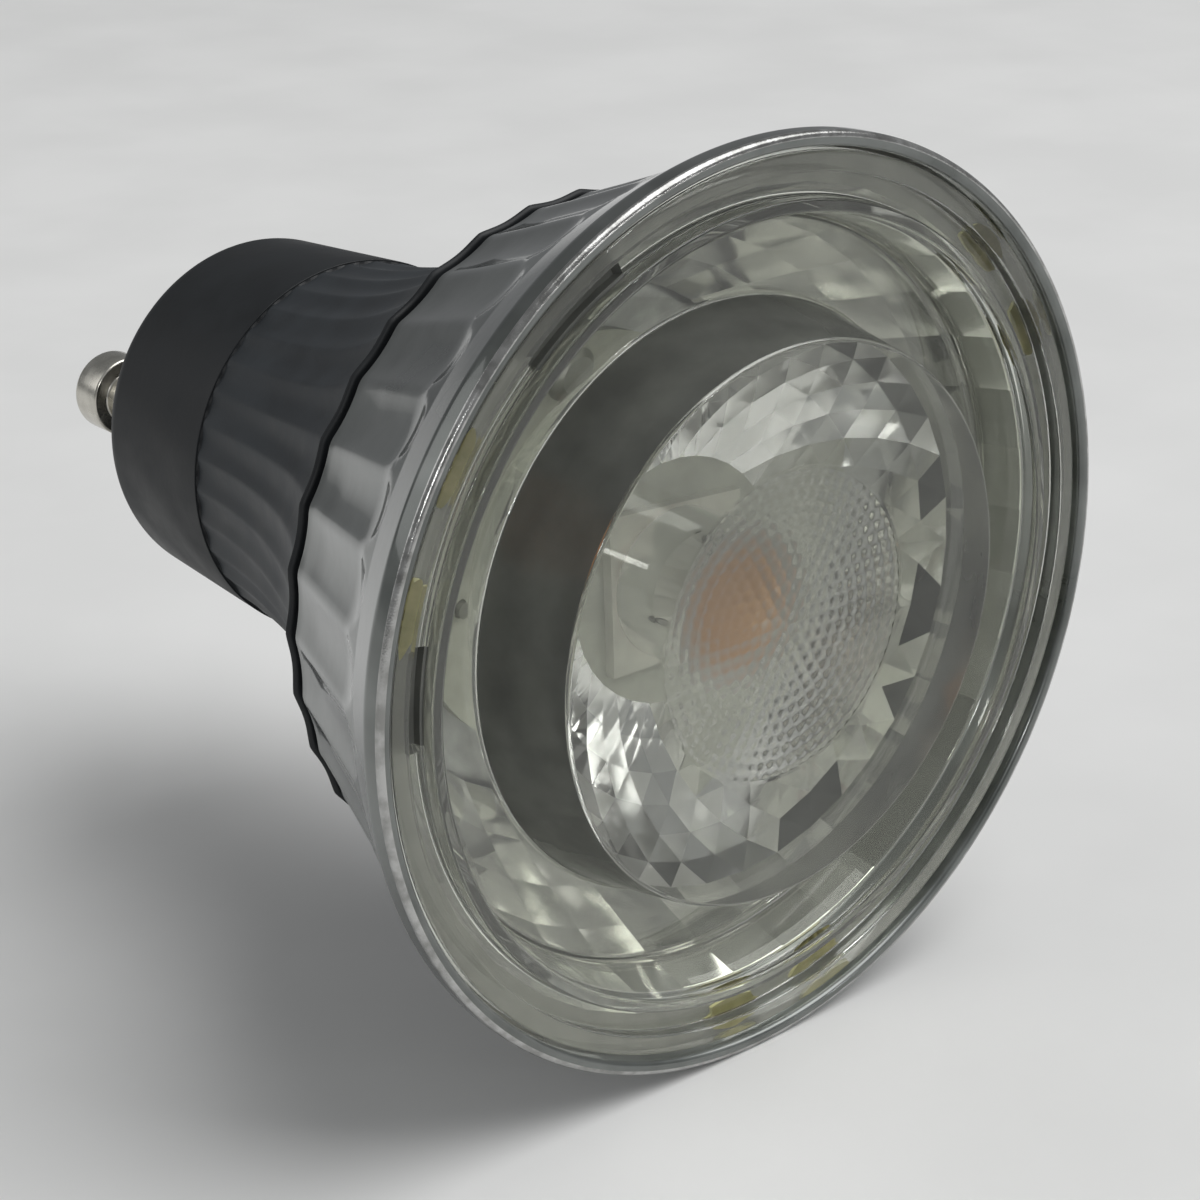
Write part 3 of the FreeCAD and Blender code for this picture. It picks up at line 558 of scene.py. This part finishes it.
def flange_rows():
    """Rows from the dish over the raised middle, the well and the grooved flange to the rear of the well."""
    dish_q = PUCK_FRONT_Q - DISH_DEPTH
    groove_q = FLANGE_FRONT_Q - GROOVE_DEPTH
    inner, outer = GROOVE_RADII
    slot_radii = (inner + SLOT_MARGIN, outer - SLOT_MARGIN)
    rows = plain_rows([
        (DISH_RADIUS - DISH_MARGIN, dish_q, 0),
        (DISH_RADIUS, dish_q, DISH_FILLET),
        (PUCK_TOP_RADIUS, PUCK_FRONT_Q, PUCK_TOP_FILLET),
        (PUCK_FOOT_RADIUS, WELL_FLOOR_Q, PUCK_FOOT_FILLET),
        (WELL_FOOT_RADIUS, WELL_FLOOR_Q, WELL_FOOT_FILLET),
        (WELL_TOP_RADIUS, FLANGE_FRONT_Q, WELL_TOP_FILLET),
        (inner, FLANGE_FRONT_Q, GROOVE_FILLET),
        (inner, groove_q, GROOVE_FLOOR_FILLET),
        (slot_radii[0], groove_q, 0),
    ])
    rows += [Row(radius, groove_q, sink=slot_sink) for radius in slot_radii]
    rows += plain_rows([
        (slot_radii[1], groove_q, 0),
        (outer, groove_q, GROOVE_FLOOR_FILLET),
        (outer, FLANGE_FRONT_Q, GROOVE_FILLET),
        (LENS_RADIUS, FLANGE_FRONT_Q, LENS_EDGE_FILLET),
        (LENS_RADIUS, FLANGE_REAR_Q, 0),
        (WELL_TOP_RADIUS + LENS_WALL, FLANGE_REAR_Q, FLANGE_REAR_FILLET),
        (WELL_FOOT_RADIUS, FLOOR_REAR_Q, FLOOR_REAR_FILLET),
        (PUCK_FOOT_RADIUS, FLOOR_REAR_Q, 0),
    ])
    # Rows on the raised middle's side wall get painted shade, a dark tint on the clear plastic
    for number, row in enumerate(rows):
        if row.radius < PUCK_FOOT_RADIUS:
            rows[number] = row._replace(paint=FACE if row.radius < PUCK_TOP_RADIUS else PAINTED_SHADE)
    return rows


def paint_shade_in_slots(bm):
    """Gives the two slots of the groove painted shade, the same dark tint as on the raised middle's wall."""
    for face in bm.faces:
        x, y, z = face.calc_center_median() / MM
        in_groove = GROOVE_RADII[0] < math.hypot(x, z) < GROOVE_RADII[1] and -y > FLANGE_REAR_Q
        if in_groove and slot_sink(math.atan2(z, x) % math.tau):
            face.material_index = PAINTED_SHADE


def diamonds(bm, near, far, ahead, chance, tones):
    """Facets of mixed tones between two rings, the second one turned by half a step, forwards or back."""
    count = len(near)
    for number in range(count):
        follow = (number + 1) % count
        if ahead:
            corners = (near[number], near[follow], far[number]), (near[follow], far[follow], far[number])
        else:
            corners = (near[number], near[follow], far[follow]), (near[number], far[follow], far[number])
        for triangle in corners:
            bm.faces.new(triangle).material_index = chance.choice(tones)


def collimator(bm, edge):
    """Rows of diamond facets from an edge at the rear of the well to the foot, whose ring is returned."""
    chance = random.Random(FACET_SEED)
    rows = bulging(CONE_RADII, (FLOOR_REAR_Q, LENS_FOOT_Q), CONE_BULGE, CONE_ROWS)
    for level, (radius, q) in enumerate(rows):
        ahead = (CONE_ROWS - level) % 2
        near = edge
        edge = ring(bm, Row(radius, q), FLUTES, twist=ahead / 2)
        if level == 0:
            skin(bm, near, edge)
        else:
            # The first rows also draw dark facets: painted dark reflections
            tones = FACETS + (PAINTED_DARK_REFLECTION,) * PAINTED_DARK_ODDS if level <= PAINTED_DARK_ROWS else FACETS
            diamonds(bm, near, edge, ahead, chance, tones)
    return edge


def cavity(bm):
    """Round cavity over the LED with a domed roof; returns the ring at its foot."""
    crown_q = LENS_FOOT_Q + CAVITY_HEIGHT
    rows = [Row(CAVITY_RADIUS, LENS_FOOT_Q), Row(CAVITY_RADIUS, crown_q, paint=ROOF)]
    for part in spread(1, 0, CROWN_ROWS)[1:]:
        rows.append(Row(CAVITY_RADIUS * part, crown_q - CAVITY_CROWN * (1 - part ** 2), paint=ROOF))
    return turned(bm, rows, CAVITY_SEGMENTS)[0]


def lens_body(*materials):
    """One clear moulding: grooved flange, well, raised middle, and a collimator of diamond facets behind."""
    bm = bmesh.new()
    middle = turned(bm, dish_rows(), STIPPLE_SEGMENTS)[1]
    first, rear = turned(bm, flange_rows())
    paint_shade_in_slots(bm)
    skin(bm, first, middle)
    foot = collimator(bm, rear)
    skin(bm, cavity(bm), foot)
    lens = piece("lens_body", bm, materials, "front_lens", flat_paints=(*FACETS, PAINTED_DARK_REFLECTION))
    # Light reaches the parts behind, as it does through clear plastic
    lens.visible_shadow = False


def dab_outline(number, angle):
    """Points (radius, turn) round an uneven dab of glue with soft corners."""
    points = []
    for step in range(DAB_POINTS):
        turn = math.tau * step / DAB_POINTS
        waves = [height * math.sin(count * turn + shift * number) for count, shift, height in DAB_WAVES]
        squarish = max(abs(math.cos(turn)), abs(math.sin(turn))) ** -0.5
        swell = (1 + sum(waves)) * squarish
        radius = DAB_RADIUS + DAB_HALF_WIDTH * math.cos(turn) * min(1.0, swell)
        points.append((radius, math.radians(angle + DAB_HALF_ANGLE * math.sin(turn) * swell)))
    return points


def glue_dabs(glue):
    """Flat uneven dabs of glue between the lens flange and the ledge of the cup."""
    bm = bmesh.new()
    for number, angle in enumerate(DAB_ANGLES):
        outline = dab_outline(number, angle)
        loops = []
        for q in (LEDGE_Q, FLANGE_REAR_Q):
            loops.append([bm.verts.new(point_at(radius, q, turn)) for radius, turn in outline])
        skin(bm, *loops)
        for loop in loops:
            bm.faces.new(loop)
    piece("glue_dabs", bm, [glue], "lens_adhesive")


# Materials


def new_material(name):
    """A material with its nodes, its links and its Principled shader."""
    item = bpy.data.materials.new(name)
    item.use_nodes = True
    return item, item.node_tree.nodes, item.node_tree.links, item.node_tree.nodes["Principled BSDF"]


def noise(nodes, links, scale, detail=4.0, stretch=None):
    """A noise pattern fixed to the lamp; scale is in cells per millimetre."""
    place = nodes.new("ShaderNodeTexCoord")
    pattern = nodes.new("ShaderNodeTexNoise")
    pattern.inputs["Scale"].default_value = scale / MM
    pattern.inputs["Detail"].default_value = detail
    if stretch is None:
        links.new(place.outputs["Object"], pattern.inputs["Vector"])
    else:
        mapping = nodes.new("ShaderNodeMapping")
        mapping.inputs["Scale"].default_value = stretch
        links.new(place.outputs["Object"], mapping.inputs["Vector"])
        links.new(mapping.outputs["Vector"], pattern.inputs["Vector"])
    return pattern.outputs["Fac"]


def blend_colours(nodes, links, factor, low, high, span=COLOUR_SPAN):
    """A colour between two, driven by a pattern."""
    ramp = nodes.new("ShaderNodeValToRGB")
    for element, position, colour in zip(ramp.color_ramp.elements, span, (low, high)):
        element.position = position
        element.color = (*colour, 1)
    links.new(factor, ramp.inputs["Fac"])
    return ramp.outputs["Color"]


def between(nodes, links, factor, low, high):
    """A number between two, driven by a pattern."""
    span = nodes.new("ShaderNodeMapRange")
    span.inputs["From Min"].default_value = ROUGH_SPAN[0]
    span.inputs["From Max"].default_value = ROUGH_SPAN[1]
    span.inputs["To Min"].default_value = low
    span.inputs["To Max"].default_value = high
    links.new(factor, span.inputs["Value"])
    return span.outputs["Result"]


def bump(nodes, links, shader, height, distance):
    """Raises the surface by a pattern; distance is in millimetres."""
    bend = nodes.new("ShaderNodeBump")
    bend.inputs["Strength"].default_value = 1.0
    bend.inputs["Distance"].default_value = distance * MM
    links.new(height, bend.inputs["Height"])
    links.new(bend.outputs["Normal"], shader.inputs["Normal"])


def finish_material(name, low, high, rough, scale=0.6, metallic=0.0, specular=0.5, grain=0.004):
    """A material whose colour and roughness vary with one pattern, and whose grain is a finer one."""
    item, nodes, links, shader = new_material(name)
    patches = noise(nodes, links, scale)
    links.new(blend_colours(nodes, links, patches, low, high), shader.inputs["Base Color"])
    links.new(between(nodes, links, patches, *rough), shader.inputs["Roughness"])
    shader.inputs["Metallic"].default_value = metallic
    shader.inputs["Specular IOR Level"].default_value = specular
    if grain:
        bump(nodes, links, shader, noise(nodes, links, GRAIN_FINENESS * scale), grain)
    return item


def moulded_plastic(name, tone):
    """Satin black plastic with a fine mould texture and faint rubbed patches."""
    low = (0.82 * tone, 0.94 * tone, 1.06 * tone)
    high = tuple(1.5 * part for part in low)
    return finish_material(name, low, high, (0.42, 0.56), scale=0.35, specular=0.35, grain=0.006)


def silvered_glass():
    """Pressed glass seen with its mirror behind it: dim silver under a clear wavy surface."""
    item, nodes, links, shader = new_material("silvered_glass")
    patches = noise(nodes, links, 0.22, detail=3.0, stretch=(1, 0.5, 1))
    tint = blend_colours(nodes, links, patches, (0.095, 0.104, 0.097), (0.18, 0.192, 0.183))
    links.new(tint, shader.inputs["Base Color"])
    links.new(between(nodes, links, patches, 0.26, 0.4), shader.inputs["Roughness"])
    shader.inputs["Metallic"].default_value = 0.8
    shader.inputs["Coat Weight"].default_value = 1.0
    shader.inputs["Coat Roughness"].default_value = 0.06
    bump(nodes, links, shader, noise(nodes, links, 0.5, detail=2.0), 0.03)
    return item


def mirror_coat(name, tone):
    """Aluminium coat on the facets, of a brightness that differs from facet to facet."""
    low = (tone, tone, 0.965 * tone)
    high = tuple(1.1 * part for part in low)
    return finish_material(name, low, high, (0.05, 0.11), scale=0.25, metallic=0.9, grain=0)


def acrylic(name, low, high, rough, clearness):
    """Clear lens plastic with a little haze and dust; clearness is the share of light that goes through."""
    item, nodes, links, shader = new_material(name)
    haze = noise(nodes, links, 0.3, detail=6.0)
    links.new(blend_colours(nodes, links, haze, low, high), shader.inputs["Base Color"])
    links.new(between(nodes, links, haze, *rough), shader.inputs["Roughness"])
    shader.inputs["Transmission Weight"].default_value = clearness
    shader.inputs["IOR"].default_value = ACRYLIC_IOR
    return item


def roof_with_painted_phosphor():
    """Frosted roof of the lens cavity, in a grey darkened as painted shade, with the orange image of the
    phosphor below painted into its colour, most in the middle.
    """
    item, nodes, links, shader = new_material("lens_roof")
    place = nodes.new("ShaderNodeTexCoord")
    flat = nodes.new("ShaderNodeMapping")
    flat.inputs["Scale"].default_value = (1 / (CAVITY_RADIUS * MM), 0, 1 / (CAVITY_RADIUS * MM))
    links.new(place.outputs["Object"], flat.inputs["Vector"])
    fade = nodes.new("ShaderNodeTexGradient")
    fade.gradient_type = "SPHERICAL"
    links.new(flat.outputs["Vector"], fade.inputs["Vector"])
    # Painted shade in the frost's dark grey, and the phosphor's image painted in as orange towards the middle
    frost = (0.36, 0.355, 0.32)
    painted_phosphor_image = (0.4, 0.18, 0.05)
    tint = blend_colours(nodes, links, fade.outputs["Fac"], frost, painted_phosphor_image, span=(0.05, 0.5))
    links.new(tint, shader.inputs["Base Color"])
    shader.inputs["Roughness"].default_value = 0.5
    shader.inputs["Transmission Weight"].default_value = 0.5
    shader.inputs["IOR"].default_value = ACRYLIC_IOR
    return item


def plain_finishes():
    """Materials of the CAD nodes that keep their own shape, by node."""
    black = ((0.012, 0.012, 0.013), (0.025, 0.025, 0.027), (0.4, 0.6))
    looks = {
        "heat_sink": finish_material(
            "bare_aluminium", (0.4, 0.4, 0.41), (0.55, 0.55, 0.56), (0.3, 0.45), metallic=1.0),
        "thermal_pad": finish_material(
            "pad_rubber", (0.25, 0.25, 0.27), (0.34, 0.34, 0.36), (0.7, 0.85)),
        # The LED board and its ceramic are darkened below their own whites: painted shade for the dim light
        # deep inside the lamp
        "led_board": finish_material(
            "board_white", (0.34, 0.345, 0.305), (0.42, 0.425, 0.375), (0.35, 0.5)),
        "led_substrate": finish_material(
            "ceramic", (0.45, 0.445, 0.4), (0.54, 0.535, 0.48), (0.4, 0.55)),
        "led_phosphor": finish_material(
            "phosphor", (0.62, 0.25, 0.07), (0.78, 0.36, 0.13), (0.25, 0.45), scale=1.5, grain=0.02),
        "board_screws": finish_material(
            "screw_steel", (0.36, 0.36, 0.34), (0.46, 0.46, 0.44), (0.4, 0.5), metallic=1.0),
        "driver_board": finish_material(
            "board_green", (0.02, 0.13, 0.05), (0.04, 0.2, 0.08), (0.3, 0.45)),
        "bulk_capacitor": finish_material("capacitor_sleeve", *black, scale=0.4),
        "film_capacitor": finish_material(
            "capacitor_dip", (0.42, 0.09, 0.03), (0.55, 0.14, 0.06), (0.2, 0.35)),
        "power_inductor": finish_material(
            "ferrite", (0.06, 0.06, 0.063), (0.1, 0.1, 0.105), (0.55, 0.75)),
        "bridge_rectifier": finish_material("package_black", *black),
        "fusible_resistor": finish_material(
            "resistor_body", (0.13, 0.3, 0.42), (0.2, 0.42, 0.55), (0.25, 0.4)),
        "mains_lead_left": finish_material("wire_black", *black, scale=1.5),
        "led_lead_left": finish_material(
            "wire_grey", (0.16, 0.16, 0.145), (0.22, 0.22, 0.2), (0.5, 0.65)),
        "led_lead_right": finish_material(
            "wire_red", (0.26, 0.13, 0.11), (0.34, 0.18, 0.15), (0.35, 0.5)),
    }
    looks["driver_chip"] = looks["bridge_rectifier"]
    looks["mains_lead_right"] = looks["mains_lead_left"]
    return looks


# Stage


def floor():
    """A wide pale floor under the rim."""
    half = FLOOR_HALF * MM
    z = -RIM_RADIUS * MM
    corners = [(-half, -half, z), (half, -half, z), (half, half, z), (-half, half, z)]
    mesh = bpy.data.meshes.new("floor")
    mesh.from_pydata(corners, [], [(0, 1, 2, 3)])
    obj = bpy.data.objects.new("floor", mesh)
    bpy.context.scene.collection.objects.link(obj)
    mesh.materials.append(finish_material(
        "floor_paper", (0.78, 0.78, 0.77), (0.81, 0.81, 0.8), (0.7, 0.85), scale=0.05, grain=0))


def aimed(name, data, place, target):
    """Links a lamp or a camera, placed and aimed in millimetres."""
    obj = bpy.data.objects.new(name, data)
    bpy.context.scene.collection.objects.link(obj)
    obj.location = Vector(place) * MM
    obj.rotation_mode = "QUATERNION"
    obj.rotation_quaternion = (Vector(target) - Vector(place)).to_track_quat("-Z", "Y")
    return obj


def softbox(name, place, size, power):
    """A square area light that shines at the lamp; size is in millimetres."""
    data = bpy.data.lights.new(name, "AREA")
    data.size = size * MM
    data.energy = power
    aimed(name, data, place, LAMP_MIDDLE)


def studio():
    """A large soft light above, smaller ones at the left, rear and front, and a dim grey surround."""
    world = bpy.data.worlds.new("studio")
    world.use_nodes = True
    surround = world.node_tree.nodes["Background"]
    surround.inputs["Color"].default_value = (*SURROUND, 1)
    surround.inputs["Strength"].default_value = 1.0
    bpy.context.scene.world = world
    softbox("top_light", (510, -470, 1170), size=1260, power=16.2)
    softbox("left_light", (-300, -380, 190), size=45, power=0.22)
    softbox("rear_light", (-280, 220, 180), size=240, power=0.2)
    softbox("front_light", (225, -465, 50), size=25, power=0.07)


def camera():
    """The photograph's viewpoint."""
    data = bpy.data.cameras.new("camera")
    data.lens = CAMERA_LENS
    data.clip_start = CAMERA_NEAR * MM
    bpy.context.scene.camera = aimed("camera", data, CAMERA_PLACE, CAMERA_TARGET)


# The lamp on its stage


# The flutes get the same plastic in a lighter tone than the rest of the base
base_shell(moulded_plastic("base_plastic", tone=0.011), moulded_plastic("lighter_flute_plastic", tone=0.026))
nickel = finish_material(
    "pin_nickel", (0.5, 0.48, 0.43), (0.66, 0.64, 0.58), (0.18, 0.35), scale=0.8, metallic=1.0)
contact_pin("contact_pin_left", "pin_left", -PIN_X, nickel)
contact_pin("contact_pin_right", "pin_right", PIN_X, nickel)
glass_cup(
    silvered_glass(),
    finish_material(
        "frosted_ledge", (0.12, 0.12, 0.105), (0.17, 0.17, 0.15), (0.35, 0.55), scale=0.5, grain=0),
    mirror_coat("mirror_dim", tone=0.6),
    mirror_coat("mirror_coat", tone=0.76),
    mirror_coat("mirror_bright", tone=0.9),
    finish_material(
        "rim_edge", (0.28, 0.28, 0.27), (0.5, 0.5, 0.49), (0.12, 0.2), scale=1.2, metallic=0.8, grain=0.01),
)
lens_body(
    acrylic("clear_acrylic", (0.84, 0.855, 0.795), (0.88, 0.895, 0.84), (0.0, 0.04), clearness=0.97),
    acrylic("stippled_acrylic", (0.71, 0.72, 0.67), (0.77, 0.78, 0.73), (0.1, 0.2), clearness=0.93),
    roof_with_painted_phosphor(),
    # Painted shade: clear plastic tinted dark, on the raised middle's wall and in the groove's slots
    acrylic("acrylic_painted_shade", (0.085, 0.087, 0.08), (0.115, 0.118, 0.108), (0.12, 0.2), clearness=0.1),
    acrylic("facet_clear", (0.88, 0.89, 0.84), (0.93, 0.94, 0.9), (0.02, 0.06), clearness=0.97),
    acrylic("facet_hazy", (0.76, 0.77, 0.72), (0.84, 0.85, 0.8), (0.06, 0.12), clearness=0.9),
    acrylic("facet_milky", (0.8, 0.81, 0.75), (0.9, 0.91, 0.85), (0.06, 0.12), clearness=0.77),
    acrylic("dusty_face", (0.72, 0.735, 0.675), (0.78, 0.795, 0.735), (0.0, 0.04), clearness=0.97),
    # Painted dark reflection: clear facets tinted dark
    acrylic("facet_painted_dark_reflection", (0.04, 0.042, 0.04), (0.07, 0.072, 0.068), (0.05, 0.1), clearness=0.25),
)
glue_dabs(finish_material("glue", (0.42, 0.4, 0.16), (0.58, 0.54, 0.26), (0.3, 0.5), scale=0.8))
for node, look in plain_finishes().items():
    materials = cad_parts[node].data.materials
    materials.clear()
    materials.append(look)

floor()
studio()
camera()
bpy.context.scene.view_settings.view_transform = "Standard"
